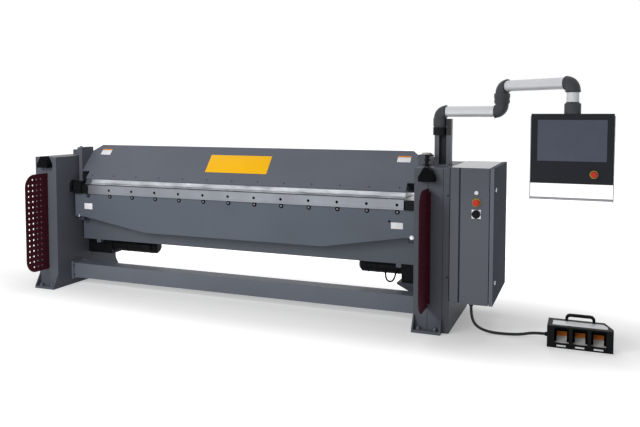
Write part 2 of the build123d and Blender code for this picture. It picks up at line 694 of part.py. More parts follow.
def cabinet_shell():
    """The electric cabinet's box, open on its door's side, with a raised control face."""
    step_x = CABINET_LEFT + CABINET_STRIP
    strip_front = CABINET_FRONT + CABINET_STEP
    shell = block(CABINET_LEFT, CABINET_RIGHT, strip_front, CABINET_BACK, CABINET_BOTTOM, CABINET_TOP)
    shell += block(step_x, CABINET_RIGHT, CABINET_FRONT, strip_front, CABINET_BOTTOM, CABINET_TOP)
    shell -= block(CABINET_LEFT + CABINET_WALL, CABINET_RIGHT + 1, strip_front + CABINET_WALL,
                   CABINET_BACK - CABINET_WALL, CABINET_BOTTOM + CABINET_WALL, CABINET_TOP - CABINET_WALL)
    shell -= rod((CONTROL_X, CABINET_FRONT - 1, STOP_Z),
                 (CONTROL_X, CABINET_FRONT + STOP_TRAVEL * 2, STOP_Z), STOP_STEM_RADIUS + PIN_PLAY)
    for z in HINGE_HEIGHTS:
        shell += rod((HINGE_X, HINGE_Y, z), (HINGE_X, HINGE_Y, z + HINGE_LENGTH), HINGE_RADIUS)
        shell += block(HINGE_X - HINGE_LENGTH, HINGE_X, CABINET_BACK, CABINET_BACK + HINGE_LEAF,
                       z, z + HINGE_LENGTH)
    return shell


def door():
    """The cabinet's side door, a pan with its rim turned in and two round locks."""
    pan = block(DOOR_LEFT, DOOR_RIGHT, CABINET_FRONT, CABINET_BACK, CABINET_BOTTOM, CABINET_TOP)
    pan -= block(DOOR_LEFT - 1, DOOR_RIGHT - DOOR_WALL, CABINET_FRONT + DOOR_WALL,
                 CABINET_BACK - DOOR_WALL, CABINET_BOTTOM + DOOR_WALL, CABINET_TOP - DOOR_WALL)
    for z in HINGE_HEIGHTS:
        low = z + HINGE_LENGTH + RUNNING_GAP
        pan += rod((HINGE_X, HINGE_Y, low), (HINGE_X, HINGE_Y, low + HINGE_LENGTH), HINGE_RADIUS)
        pan += block(HINGE_X, DOOR_RIGHT, CABINET_BACK, CABINET_BACK + HINGE_LEAF, low, low + HINGE_LENGTH)
    y = CABINET_FRONT + LOCK_FROM_EDGE
    for z in LOCK_HEIGHTS:
        pan += rod((DOOR_RIGHT, y, z), (DOOR_RIGHT + LOCK_PROUD, y, z), LOCK_RADIUS)
        pan -= block(DOOR_RIGHT + LOCK_PROUD - LOCK_SLOT, DOOR_RIGHT + LOCK_PROUD + 1, y - LOCK_SLOT / 2,
                     y + LOCK_SLOT / 2, z - LOCK_RADIUS / 2, z + LOCK_RADIUS / 2)
    return pan


def stop_collar(x, front, z):
    """The collar of an emergency stop button."""
    ring = rod((x, front, z), (x, front - STOP_COLLAR_THICK, z), STOP_COLLAR_RADIUS)
    ring -= rod((x, front + 1, z), (x, front - STOP_COLLAR_THICK - 1, z), STOP_STEM_RADIUS + PIN_PLAY)
    return ring


def stop_button(x, front, z, radius):
    """A mushroom head on its stem, free to be pressed in."""
    under = front - STOP_COLLAR_THICK - STOP_TRAVEL - STOP_HEAD_GAP
    head = rod((x, under, z), (x, under - STOP_HEAD_THICK, z), radius)
    head = chamfer(head.edges().group_by(Axis.Y)[0], STOP_HEAD_EDGE)
    return head + rod((x, under, z), (x, front - STOP_TRAVEL - RUNNING_GAP, z), STOP_STEM_RADIUS)


def main_switch_knob(front):
    """The round knob of the main switch with its grip bar."""
    face = front - SWITCH_PLATE_THICK - RUNNING_GAP
    knob = rod((CONTROL_X, face, SWITCH_Z), (CONTROL_X, face - KNOB_THICK / 2, SWITCH_Z), KNOB_RADIUS)
    reach = KNOB_RADIUS - KNOB_BAR_INSET
    knob += block(CONTROL_X - KNOB_BAR / 2, CONTROL_X + KNOB_BAR / 2, face - KNOB_THICK / 2,
                  face - KNOB_THICK, SWITCH_Z - reach, SWITCH_Z + reach)
    return knob


def elbow(corner, first, last, first_length, last_length):
    """A round pipe bend from one leg's end, round a corner, to the other leg's end."""
    corner = Vector(*corner)
    start = corner + Vector(*first) * first_length
    end = corner + Vector(*last) * last_length
    path = FilletPolyline(start, corner, end, radius=ELBOW_BEND)
    section = Plane(origin=start, z_dir=corner - start) * Circle(ELBOW_RADIUS)
    return sweep(section, path=path)


def mast():
    """The channel that carries the swing arm, two bars with a web set back between them."""
    front = MAST_Y - MAST_DEPTH / 2
    back = MAST_Y + MAST_DEPTH / 2
    body = block(MAST_LEFT - MAST_FLANGE_LIP, COLUMN_OUTER, front - MAST_FLANGE_LIP, back + MAST_FLANGE_LIP,
                 COLUMN_HEIGHT, COLUMN_HEIGHT + MAST_FLANGE_THICK)
    body += block(MAST_LEFT, MAST_LEFT + MAST_BAR, front, back, COLUMN_HEIGHT, COLLAR_BOTTOM)
    body += block(MAST_LEFT, COLUMN_OUTER, front + MAST_WEB_SETBACK, back, COLUMN_HEIGHT, COLLAR_BOTTOM)
    body += block(COLUMN_OUTER - MAST_BAR, COLUMN_OUTER, front, back, COLUMN_HEIGHT, MAST_POST_TOP)
    return body + rod((MAST_X, MAST_Y, COLLAR_BOTTOM), (MAST_X, MAST_Y, COLLAR_TOP), COLLAR_RADIUS)


def panel_housing():
    """The control panel's housing, with a recess for the screen and chamfered back edges."""
    housing = block(ELBOW_3_X - PANEL_WIDTH / 2, ELBOW_3_X + PANEL_WIDTH / 2, PANEL_FRONT,
                    PANEL_FRONT + PANEL_DEPTH, PANEL_BOTTOM, PANEL_TOP)
    back_face = housing.faces().sort_by(Axis.Y)[-1]
    housing = chamfer(back_face.edges(), PANEL_CHAMFER)
    housing -= block(ELBOW_3_X - SCREEN_WIDTH / 2, ELBOW_3_X + SCREEN_WIDTH / 2, PANEL_FRONT,
                     PANEL_FRONT + SCREEN_THICK, PANEL_TOP - SCREEN_TOP_MARGIN - SCREEN_HEIGHT,
                     PANEL_TOP - SCREEN_TOP_MARGIN)
    stop_x = ELBOW_3_X + PANEL_STOP_X
    stem_room = STOP_TRAVEL + RUNNING_GAP
    housing -= rod((stop_x, PANEL_FRONT, PANEL_STOP_Z), (stop_x, PANEL_FRONT + stem_room, PANEL_STOP_Z),
                   STOP_STEM_RADIUS + PIN_PLAY)
    return housing + stop_collar(stop_x, PANEL_FRONT, PANEL_STOP_Z)


def panel_handle():
    """The bright grab bar under the panel, held by two straps along the panel's sides."""
    y = PANEL_FRONT + HANDLE_STRAP_WIDTH
    bar_z = PANEL_BOTTOM - HANDLE_DROP
    side_x = PANEL_WIDTH / 2
    handle = rod((ELBOW_3_X - side_x, y, bar_z), (ELBOW_3_X + side_x, y, bar_z), HANDLE_RADIUS)
    for side in (-1, 1):
        inner = ELBOW_3_X + side * side_x
        handle += block(inner, inner + side * HANDLE_STRAP_THICK, y - HANDLE_STRAP_WIDTH / 2,
                        y + HANDLE_STRAP_WIDTH / 2, bar_z - HANDLE_STUB, PANEL_TOP - HANDLE_STUB)
    return handle


def foot_housing():
    """The foot switch's box, tapered at its right back, with a pocket for each pedal."""
    plan = Polygon(
        (FOOT_LEFT, FOOT_FRONT),
        (FOOT_RIGHT, FOOT_FRONT),
        (FOOT_RIGHT, FOOT_BACK - FOOT_TAPER_Y),
        (FOOT_RIGHT - FOOT_TAPER_X, FOOT_BACK),
        (FOOT_LEFT, FOOT_BACK),
        align=None,
    )
    box = extrude(plan, FOOT_HEIGHT)
    for number in range(PEDAL_COUNT):
        middle = bay_middle(number)
        box -= block(middle - BAY_WIDTH / 2, middle + BAY_WIDTH / 2, FOOT_FRONT - 1, FOOT_FRONT + BAY_DEPTH,
                     FOOT_FLOOR, FOOT_HEIGHT - FOOT_ROOF)
    return box


def pedal(number):
    """A sloping pedal plate, hinged low at its front on a cross pin."""
    middle = bay_middle(number)
    slope = math.radians(PEDAL_RISE)
    along = Vector(0, math.cos(slope), math.sin(slope))
    plane = Plane(origin=(middle - PEDAL_WIDTH / 2, PEDAL_HINGE_Y, PEDAL_HINGE_Z), x_dir=along,
                  z_dir=(1, 0, 0))
    plate = Pos(PEDAL_LENGTH / 2, 0) * RectangleRounded(PEDAL_LENGTH + PEDAL_THICK, PEDAL_THICK,
                                                        PEDAL_THICK / 2 - 0.5)
    body = extrude(plane * plate, PEDAL_WIDTH)
    half_pin = BAY_WIDTH / 2 - PIN_PLAY
    body += rod((middle - half_pin, PEDAL_HINGE_Y, PEDAL_HINGE_Z),
                (middle + half_pin, PEDAL_HINGE_Y, PEDAL_HINGE_Z), PEDAL_PIN_RADIUS)
    return body


def carry_handle():
    """The arched handle on the back of the foot switch's roof."""
    middle = bay_middle(1) + CARRY_SHIFT
    arch = RectangleRounded(CARRY_WIDTH, CARRY_HEIGHT * 2, CARRY_ROUND)
    arch -= RectangleRounded(CARRY_WIDTH - CARRY_THICK * 2, (CARRY_HEIGHT - CARRY_THICK) * 2,
                             CARRY_ROUND - CARRY_THICK)
    arch -= Pos(0, -CARRY_HEIGHT) * Rectangle(CARRY_WIDTH * 2, CARRY_HEIGHT * 2)
    plane = Plane(origin=(middle, FOOT_BACK - CARRY_THICK / 2, FOOT_HEIGHT), x_dir=(1, 0, 0),
                  z_dir=(0, -1, 0))
    return extrude(plane * arch, CARRY_THICK)


def conduit():
    """The foot switch's conduit, from the cabinet's floor to the switch's left side."""
    route = [
        (CONDUIT_X, CONDUIT_Y, CABINET_BOTTOM - GLAND_LENGTH),
        (CONDUIT_X, CONDUIT_Y, 142),
        (2148, -168, 62),
        (2238, -110, 16),
        (2340, -92, 11),
        (2450, -94, 20),
        (2545, CONDUIT_END_Y, CONDUIT_END_Z),
        (FOOT_LEFT - GLAND_LENGTH, CONDUIT_END_Y, CONDUIT_END_Z),
    ]
    points = [Vector(*point) for point in route]
    radii = []
    for before, here, after in zip(points, points[1:], points[2:]):
        turn = math.radians((here - before).get_angle(after - here))
        shorter = min((here - before).length, (after - here).length)
        radii.append(0.45 * shorter / math.tan(turn / 2))
    print("conduit radii", [round(radius) for radius in radii])
    path = FilletPolyline(*points, radius=radii)
    section = Plane(origin=points[0], z_dir=points[1] - points[0]) * Circle(CONDUIT_RADIUS)
    tube = sweep(section, path=path)
    expected = math.pi * CONDUIT_RADIUS ** 2 * path.length
    print("conduit length", round(path.length), "volume ratio", round(tube.volume / expected, 4))
    return tube


# Columns, rail, beam and bed
MODEL["right_column"] = column()
MODEL["left_column"] = left_column()
MODEL["right_side_cover"] = side_cover()
MODEL["base_rail"] = base_rail()
MODEL["lower_beam"] = lower_beam()
MODEL["bed"] = bed()
MODEL["pivot_bearings"] = pair(pivot_bearing())
both_sides("guard", guard())
MODEL["work_lamps"] = pair(work_lamp())
MODEL["gear_motors"] = Compound([
    gear_motor(RIGHT_MOTOR_RADIUS, RIGHT_MOTOR_END, RIGHT_GEARBOX_X, RIGHT_GEARBOX_HEIGHT),
    mirrored(gear_motor(LEFT_MOTOR_RADIUS, LEFT_MOTOR_END, LEFT_GEARBOX_X, LEFT_GEARBOX_HEIGHT)),
])
MODEL["motor_shelf"] = motor_shelf()
MODEL["adjusting_screws"] = adjusting_screw()

# Folding beam
MODEL["apron_plate"] = apron_plate()
MODEL["apron_blade"] = apron_blade()
MODEL["pivot_ears"] = Compound([right_pivot(), left_pivot()])
MODEL["drive_lugs"] = pair(drive_lug())

# Clamping beam
MODEL["clamp_blade"] = clamp_blade()
MODEL["clamp_core"] = clamp_core()
MODEL["hood_plate"] = hood_plate()
both_sides("clamp_guide", clamp_guide())
MODEL["lift_rods"] = pair(lift_rod())

# Electric cabinet and its controls
MODEL["cabinet_shell"] = cabinet_shell()
MODEL["cabinet_door"] = door()
MODEL["pilot_lamp"] = rod((CONTROL_X, CABINET_FRONT, LAMP_Z),
                          (CONTROL_X, CABINET_FRONT - PILOT_PROUD, LAMP_Z), PILOT_RADIUS)
MODEL["cabinet_stop_collar"] = stop_collar(CONTROL_X, CABINET_FRONT, STOP_Z)
MODEL["cabinet_stop_button"] = stop_button(CONTROL_X, CABINET_FRONT, STOP_Z, STOP_HEAD_RADIUS)
MODEL["switch_plate"] = block(
    CONTROL_X - SWITCH_PLATE / 2, CONTROL_X + SWITCH_PLATE / 2, CABINET_FRONT,
    CABINET_FRONT - SWITCH_PLATE_THICK, SWITCH_Z - SWITCH_PLATE / 2, SWITCH_Z + SWITCH_PLATE / 2)
MODEL["main_switch"] = main_switch_knob(CABINET_FRONT)

# Mast and swing arm
along_lower = Vector(math.cos(math.radians(LOWER_ARM_ANGLE)), math.sin(math.radians(LOWER_ARM_ANGLE)), 0)
along_upper = Vector(math.cos(math.radians(UPPER_ARM_ANGLE)), math.sin(math.radians(UPPER_ARM_ANGLE)), 0)
up = Vector(0, 0, 1)
swivel_z = (MIDDLE_COLLAR_BOTTOM + MIDDLE_COLLAR_TOP) / 2
mast_head = Vector(MAST_X, MAST_Y, LOWER_TUBE_Z)
low_corner = Vector(ELBOW_2_X, ELBOW_2_Y, LOWER_TUBE_Z)
high_corner = Vector(ELBOW_2_X, ELBOW_2_Y, UPPER_TUBE_Z)
panel_corner = Vector(ELBOW_3_X, ELBOW_3_Y, UPPER_TUBE_Z)
MODEL["mast"] = mast()
mast_elbow = elbow(mast_head, -up, along_lower, LOWER_TUBE_Z - COLLAR_TOP - RUNNING_GAP, ELBOW_LEG)
low_elbow = elbow(low_corner, -along_lower, up, ELBOW_LEG, swivel_z - LOWER_TUBE_Z)
low_elbow += rod((ELBOW_2_X, ELBOW_2_Y, MIDDLE_COLLAR_BOTTOM), (ELBOW_2_X, ELBOW_2_Y, swivel_z),
                 MIDDLE_COLLAR_RADIUS)
MODEL["lower_arm_elbows"] = Compound([mast_elbow, low_elbow])
MODEL["lower_tube"] = rod(mast_head + along_lower * ELBOW_LEG, low_corner - along_lower * ELBOW_LEG,
                          TUBE_RADIUS)
high_elbow = elbow(high_corner, -up, along_upper, UPPER_TUBE_Z - swivel_z - RUNNING_GAP, ELBOW_LEG)
high_elbow += rod((ELBOW_2_X, ELBOW_2_Y, swivel_z + RUNNING_GAP), (ELBOW_2_X, ELBOW_2_Y, MIDDLE_COLLAR_TOP),
                  MIDDLE_COLLAR_RADIUS)
panel_elbow = elbow(panel_corner, -along_upper, -up, ELBOW_LEG, UPPER_TUBE_Z - DROP_TUBE_TOP - RUNNING_GAP)
MODEL["upper_arm_elbows"] = Compound([high_elbow, panel_elbow])
MODEL["upper_tube"] = rod(high_corner + along_upper * ELBOW_LEG, panel_corner - along_upper * ELBOW_LEG,
                          TUBE_RADIUS)

# Control panel
MODEL["drop_tube"] = rod((ELBOW_3_X, ELBOW_3_Y, COUPLING_TOP), (ELBOW_3_X, ELBOW_3_Y, DROP_TUBE_TOP),
                         TUBE_RADIUS)
coupling = rod((ELBOW_3_X, ELBOW_3_Y, PANEL_TOP), (ELBOW_3_X, ELBOW_3_Y, COUPLING_TOP), COUPLING_RADIUS)
MODEL["panel_coupling"] = chamfer(coupling.edges().group_by(Axis.Z)[-1], COUPLING_EDGE)
MODEL["panel_housing"] = panel_housing()
MODEL["screen"] = block(
    ELBOW_3_X - SCREEN_WIDTH / 2, ELBOW_3_X + SCREEN_WIDTH / 2, PANEL_FRONT, PANEL_FRONT + SCREEN_THICK,
    PANEL_TOP - SCREEN_TOP_MARGIN - SCREEN_HEIGHT, PANEL_TOP - SCREEN_TOP_MARGIN)
MODEL["panel_handle"] = panel_handle()
MODEL["panel_stop_button"] = stop_button(ELBOW_3_X + PANEL_STOP_X, PANEL_FRONT, PANEL_STOP_Z,
                                         PANEL_STOP_HEAD_RADIUS)

# Foot switch
MODEL["foot_switch_housing"] = foot_housing()
MODEL["foot_switch_handle"] = carry_handle()
for number in range(PEDAL_COUNT):
    MODEL[f"pedal_{number + 1}"] = pedal(number)
cabinet_gland = rod((CONDUIT_X, CONDUIT_Y, CABINET_BOTTOM - GLAND_LENGTH),
                    (CONDUIT_X, CONDUIT_Y, CABINET_BOTTOM), GLAND_RADIUS)
foot_gland = rod((FOOT_LEFT - GLAND_LENGTH, CONDUIT_END_Y, CONDUIT_END_Z),
                 (FOOT_LEFT, CONDUIT_END_Y, CONDUIT_END_Z), GLAND_RADIUS)
MODEL["conduit_glands"] = Compound([cabinet_gland, foot_gland])
MODEL["foot_switch_conduit"] = conduit()

# The origin is on the floor under the middle of the whole machine's box.
# The left column, the foot switch, the panel's front parts and the columns' back toes bound it.
BOX_FRONT = PANEL_FRONT - STOP_COLLAR_THICK - STOP_TRAVEL - STOP_HEAD_GAP - STOP_HEAD_THICK
ORIGIN = Vector(
    (FOOT_RIGHT - COLUMN_OUTER - OUTER_PLATE_THICK) / 2,
    (min(COLUMN_FRONT - GUARD_REACH, BOX_FRONT) + COLUMN_BACK + TOE_REACH) / 2,
    0,
)
for name, shape in MODEL.items():
    export_step(shape.moved(Location(-ORIGIN)), f"parts/{name}.step")
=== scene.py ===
import math

import bmesh
import bpy
from mathutils import Matrix, Vector


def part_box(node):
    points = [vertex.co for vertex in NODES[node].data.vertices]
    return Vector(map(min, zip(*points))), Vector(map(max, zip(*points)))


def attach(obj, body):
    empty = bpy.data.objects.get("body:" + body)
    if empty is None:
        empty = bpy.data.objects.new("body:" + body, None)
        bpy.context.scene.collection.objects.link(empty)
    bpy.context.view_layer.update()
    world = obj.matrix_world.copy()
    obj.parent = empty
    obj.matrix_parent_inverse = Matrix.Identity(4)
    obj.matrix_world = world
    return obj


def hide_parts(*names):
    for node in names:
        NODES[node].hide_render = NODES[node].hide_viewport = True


# A folding machine for sheet metal. Places are given in the machine's own millimetres: X from the
# middle of the bend line, Y from the front face of the folding beam's plate, Z from the floor.
# The function at() turns them into the frame's metres.
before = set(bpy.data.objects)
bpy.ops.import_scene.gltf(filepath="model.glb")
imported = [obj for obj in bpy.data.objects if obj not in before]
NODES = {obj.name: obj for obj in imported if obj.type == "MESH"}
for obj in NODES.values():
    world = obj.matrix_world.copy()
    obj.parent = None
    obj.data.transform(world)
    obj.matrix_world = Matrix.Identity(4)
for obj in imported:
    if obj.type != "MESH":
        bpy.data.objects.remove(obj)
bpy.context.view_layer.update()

bed_low, bed_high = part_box("bed")
ORIGIN_X = (bed_low.x + bed_high.x) / 2
ORIGIN_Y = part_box("apron_plate")[0].y
FORWARD = Vector((0, -1, 0))
UP = Vector((0, 0, 1))


def at(x, y, z):
    """A point in the machine's millimetres, in the frame's metres."""
    return Vector((ORIGIN_X + x / 1000, ORIGIN_Y + y / 1000, z / 1000))


def srgb(red, green, blue):
    """A colour from screen values of 0 to 255, as linear light."""
    channels = []
    for value in (red, green, blue):
        part = value / 255
        channels.append(part / 12.92 if part <= 0.04045 else ((part + 0.055) / 1.055) ** 2.4)
    return (*channels, 1.0)


# Camera, with the photo's place, turn and lens
PHOTO_WIDTH = 640
PHOTO_HEIGHT = 427
FOCAL_PIXELS = 703.12
MIDDLE_X = 304.97
MIDDLE_Y = 156.24
YAW = math.radians(22.166)
PITCH = math.radians(3.419)
CAMERA_PLACE = (2899, -5358.5, 1624.7)
SENSOR_WIDTH = 36
FAR_CLIP = 200

camera_data = bpy.data.cameras.new("camera")
camera = bpy.data.objects.new("camera", camera_data)
bpy.context.scene.collection.objects.link(camera)
camera_data.sensor_fit = "HORIZONTAL"
camera_data.sensor_width = SENSOR_WIDTH
camera_data.lens = FOCAL_PIXELS * SENSOR_WIDTH / PHOTO_WIDTH
camera_data.shift_x = (PHOTO_WIDTH / 2 - MIDDLE_X) / PHOTO_WIDTH
camera_data.shift_y = (MIDDLE_Y - PHOTO_HEIGHT / 2) / PHOTO_WIDTH
camera_data.clip_end = FAR_CLIP
view_line = Vector((-math.sin(YAW) * math.cos(PITCH), math.cos(YAW) * math.cos(PITCH), -math.sin(PITCH)))
across = Vector((math.cos(YAW), math.sin(YAW), 0))
upward = across.cross(view_line)
turn = Matrix((across, upward, -view_line)).transposed().to_4x4()
camera.matrix_world = Matrix.Translation(at(*CAMERA_PLACE)) @ turn
bpy.context.scene.camera = camera


def round_line(name, places, radius, steps, corners):
    """A round line that follows its places on a smooth curve."""
    curve = bpy.data.curves.new(name, "CURVE")
    curve.dimensions = "3D"
    spline = curve.splines.new("NURBS")
    spline.points.add(len(places) - 1)
    for point, place in zip(spline.points, places):
        point.co = (*at(*place), 1)
    spline.order_u = 3
    spline.use_endpoint_u = True
    spline.resolution_u = steps
    curve.bevel_depth = radius / 1000
    curve.bevel_resolution = corners
    curve.use_fill_caps = True
    line = bpy.data.objects.new(name, curve)
    bpy.context.scene.collection.objects.link(line)
    return line


# The foot switch's conduit
CONDUIT_ROUTE = [
    (2110, -192, 222),
    (2110, -192, 142),
    (2148, -168, 62),
    (2238, -110, 16),
    (2340, -92, 11),
    (2450, -94, 20),
    (2545, -100, 48),
    (2622, -100, 48),
]
CONDUIT_RADIUS = 10.5
conduit = round_line("conduit", CONDUIT_ROUTE, CONDUIT_RADIUS, 24, 6)
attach(conduit, "frame")
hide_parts("foot_switch_conduit")

# Materials: radii of the edges that look broken and depths of the fine bumps, in metres
PAINT_EDGE = 0.0015
METAL_EDGE = 0.0008
PLASTIC_EDGE = 0.001
TWO_TONE_EDGE = 0.0012
PEEL_DEPTH = 0.00012
MARK_DEPTH = 0.00005
GRAIN_DEPTH = 0.00008
TWO_TONE_DEPTH = 0.00006


def new_material(name):
    """A new material with its node tree and its principled shader."""
    material = bpy.data.materials.new(name)
    material.use_nodes = True
    tree = material.node_tree
    shader = tree.nodes["Principled BSDF"]
    return material, tree, shader


def node(tree, kind, **values):
    """A new node with some of its properties set."""
    made = tree.nodes.new(kind)
    for key, value in values.items():
        setattr(made, key, value)
    return made


def noise(tree, scale, detail, stretch=(1, 1, 1)):
    """A noise texture laid over the object's own coordinates."""
    place = node(tree, "ShaderNodeTexCoord")
    mapping = node(tree, "ShaderNodeMapping")
    mapping.inputs["Scale"].default_value = stretch
    texture = node(tree, "ShaderNodeTexNoise")
    texture.inputs["Scale"].default_value = scale
    texture.inputs["Detail"].default_value = detail
    tree.links.new(place.outputs["Object"], mapping.inputs["Vector"])
    tree.links.new(mapping.outputs["Vector"], texture.inputs["Vector"])
    return texture.outputs["Fac"]


def ramp(tree, factor, low, high, start=0.0, end=1.0):
    """A colour ramp between two colours."""
    made = node(tree, "ShaderNodeValToRGB")
    made.color_ramp.elements[0].position = start
    made.color_ramp.elements[0].color = low
    made.color_ramp.elements[1].position = end
    made.color_ramp.elements[1].color = high
    tree.links.new(factor, made.inputs["Fac"])
    return made.outputs["Color"]


def spread(tree, factor, low, high):
    """The factor carried to the range from low to high."""
    made = node(tree, "ShaderNodeMapRange")
    made.inputs["To Min"].default_value = low
    made.inputs["To Max"].default_value = high
    tree.links.new(factor, made.inputs["Value"])
    return made.outputs["Result"]


def shade(colour, factor):
    """A colour made lighter or darker."""
    return (*[min(1.0, part * factor) for part in colour[:3]], 1.0)


def set_mottled_colour(tree, shader, factor, colour, share):
    """A base colour that grows darker and lighter by a share of itself."""
    mottled = ramp(tree, factor, shade(colour, 1 - share), shade(colour, 1 + share), 0.3, 0.7)
    tree.links.new(mottled, shader.inputs["Base Color"])


def set_roughness(tree, shader, factor, low, high):
    """A roughness that goes from low to high with the factor."""
    tree.links.new(spread(tree, factor, low, high), shader.inputs["Roughness"])


def set_normal(tree, shader, edge, height, depth):
    """Softened edges with a fine bump on top of them."""
    bevel = node(tree, "ShaderNodeBevel", samples=6)
    bevel.inputs["Radius"].default_value = edge
    bump = node(tree, "ShaderNodeBump")
    bump.inputs["Strength"].default_value = 1.0
    bump.inputs["Distance"].default_value = depth
    tree.links.new(height, bump.inputs["Height"])
    tree.links.new(bevel.outputs["Normal"], bump.inputs["Normal"])
    tree.links.new(bump.outputs["Normal"], shader.inputs["Normal"])


def painted(name, colour, roughness=0.42, coat=0.0, specular=0.3):
    """Powder coated steel, with orange peel, faint blotches and an uneven gloss."""
    material, tree, shader = new_material(name)
    set_mottled_colour(tree, shader, noise(tree, 2.2, 4), colour, 0.06)
    set_roughness(tree, shader, noise(tree, 55, 2), roughness - 0.06, roughness + 0.08)
    shader.inputs["Specular IOR Level"].default_value = specular
    shader.inputs["Coat Weight"].default_value = coat
    shader.inputs["Coat Roughness"].default_value = 0.14
    set_normal(tree, shader, PAINT_EDGE, noise(tree, 420, 2), PEEL_DEPTH)
    return material


def metal(name, colour, roughness=0.3, stretch=(1, 1, 1), streak=0.12, scale=60, metallic=1.0):
    """Bare metal with its machining marks; where the streak share is large, the light and dark streaks are
    painted reflections.
    """
    material, tree, shader = new_material(name)
    marks = noise(tree, scale, 5, stretch)
    set_mottled_colour(tree, shader, marks, colour, streak)
    set_roughness(tree, shader, marks, roughness * 0.7, roughness * 1.35)
    shader.inputs["Metallic"].default_value = metallic
    set_normal(tree, shader, METAL_EDGE, marks, MARK_DEPTH)
    return material


def plastic(name, colour, roughness=0.4, grain_scale=700, grain_depth=GRAIN_DEPTH, edge=PLASTIC_EDGE,
            metallic=0.0, specular=0.3, uneven=0.06):
    """Plastic, rubber, enamel or print with a fine grain."""
    material, tree, shader = new_material(name)
    grain = noise(tree, grain_scale, 2)
    set_mottled_colour(tree, shader, noise(tree, 9, 3), colour, uneven)
    set_roughness(tree, shader, grain, roughness - 0.05, roughness + 0.07)
    shader.inputs["Metallic"].default_value = metallic
    shader.inputs["Specular IOR Level"].default_value = specular
    set_normal(tree, shader, edge, grain, grain_depth)
    return material


def two_tone(name, node_name, low, high, axis, border, roughness=0.45):
    """A finish that changes its colour at one height or length of a CAD node."""
    material, tree, shader = new_material(name)
    place = node(tree, "ShaderNodeTexCoord")
    parts = node(tree, "ShaderNodeSeparateXYZ")
    tree.links.new(place.outputs["Object"], parts.inputs[0])
    local = NODES[node_name].matrix_world.inverted() @ border
    above = node(tree, "ShaderNodeMath", operation="GREATER_THAN")
    above.inputs[1].default_value = local["XYZ".index(axis)]
    tree.links.new(parts.outputs[axis], above.inputs[0])
    tree.links.new(ramp(tree, above.outputs[0], low, high), shader.inputs["Base Color"])
    grain = noise(tree, 300, 2)
    set_roughness(tree, shader, grain, roughness - 0.05, roughness + 0.07)
    shader.inputs["Specular IOR Level"].default_value = 0.3
    set_normal(tree, shader, TWO_TONE_EDGE, grain, TWO_TONE_DEPTH)
    return material


MAST_GREY = srgb(96, 99, 106)
MAST_DARK = srgb(40, 41, 44)
MAST_BORDER = at(0, 0, 1463)
PEDAL_GREY = srgb(196, 195, 192)
PEDAL_ORANGE = srgb(226, 130, 56)
PEDAL_BORDER = at(0, -160, 45)
MATERIAL = {
    "hood": painted("hood_paint", srgb(94, 98, 108)),
    "apron": painted("apron_paint", srgb(88, 95, 105)),
    "rail": painted("rail_paint", srgb(102, 107, 117)),
    "column": painted("column_paint", srgb(92, 95, 103), specular=0.08),
    "cabinet": painted("cabinet_paint", srgb(67, 72, 82), 0.36, coat=0.6),
    # Painted light: the door's paint is lighter than the cabinet's, so that its side face, turned away from
    # the lamps, shows brighter.
    "door": painted("door_paint_with_painted_light", srgb(116, 120, 130), 0.5, specular=0.0),
    "beam": painted("beam_paint", srgb(84, 89, 98)),
    "guard": painted("guard_paint", srgb(68, 22, 34), 0.45, specular=0.1),
    "lug": painted("lug_paint", srgb(70, 73, 80), specular=0.08),
    "steel": metal("ground_steel", srgb(168, 171, 177), 0.3, (0.3, 8, 8), 0.1),
    "die": metal("die_steel", srgb(138, 141, 148), 0.38, (0.6, 0.3, 0.3), 0.16, scale=5),
    # The blade's strong light and dark streaks are painted reflections of its polished face.
    "blade": metal("blade_steel_painted_reflections", srgb(196, 199, 205), 0.24, (0.8, 2.6, 2.6), 0.36, scale=7, metallic=0.45),
    "zinc": metal("zinc_plate", srgb(124, 126, 132), 0.42),
    "bright": metal("bright_screw", srgb(205, 207, 212), 0.25),
    "silver": metal("plate_silver", srgb(206, 208, 212), 0.34),
    "lamp": plastic("lamp_black", srgb(7, 8, 10), 0.5, 300, 0.0001, specular=0.05),
    # This grey serves the duct, and also the painted shade beside the step in the cabinet's front strip.
    "duct": plastic("duct_grey_and_step_shade", srgb(52, 54, 60), 0.6, 300, 0.0001, specular=0.08),
    "shadow": plastic("seam_shadow", srgb(14, 15, 17), 0.8, 300, 0.0001, specular=0.0),
    "black": plastic("black_iron", srgb(16, 17, 20), 0.55, 300, 0.00015, specular=0.15),
    "tube": plastic("silver_tube", srgb(214, 216, 220), 0.36, 900, 0.00003, metallic=0.25, uneven=0.02),
    "elbow": plastic("elbow_grey", srgb(62, 64, 68), 0.5, 500, 0.00015),
    "panel": plastic("panel_black", srgb(34, 35, 41), 0.42, 600, 0.0001, specular=0.15),
    "handle": plastic("handle_grey", srgb(158, 160, 166), 0.35, 900, 0.00002, metallic=0.3),
    "housing": plastic("foot_switch_black", srgb(13, 14, 16), 0.5, 500, 0.00015, specular=0.12),
    "screen": plastic("screen_glass", srgb(76, 82, 99), 0.14, 900, 0.0, edge=0.0003),
    "red": plastic("stop_red", srgb(206, 48, 36), 0.28, 900, 0.00002),
    "yellow": plastic("plate_yellow", srgb(254, 190, 12), 0.35, 900, 0.00002, uneven=0.02),
    "olive": plastic("collar_yellow", srgb(176, 158, 58), 0.4, 900, 0.00002),
    "white": plastic("label_white", srgb(236, 237, 240), 0.35, 900, 0.00002),
    "amber": plastic("label_orange", srgb(220, 138, 60), 0.35, 900, 0.00002),
    "grey": plastic("cap_grey", srgb(176, 174, 170), 0.45),
    "rubber": plastic("conduit_rubber", srgb(34, 35, 38), 0.5, 500, 0.0001),
    "mast": two_tone("mast_grey", "mast", MAST_GREY, MAST_DARK, "Z", MAST_BORDER),
}
for number in (1, 2, 3):
    pedal = f"pedal_{number}"
    MATERIAL[pedal] = two_tone(f"{pedal}_finish", pedal, PEDAL_GREY, PEDAL_ORANGE, "Y", PEDAL_BORDER, 0.42)

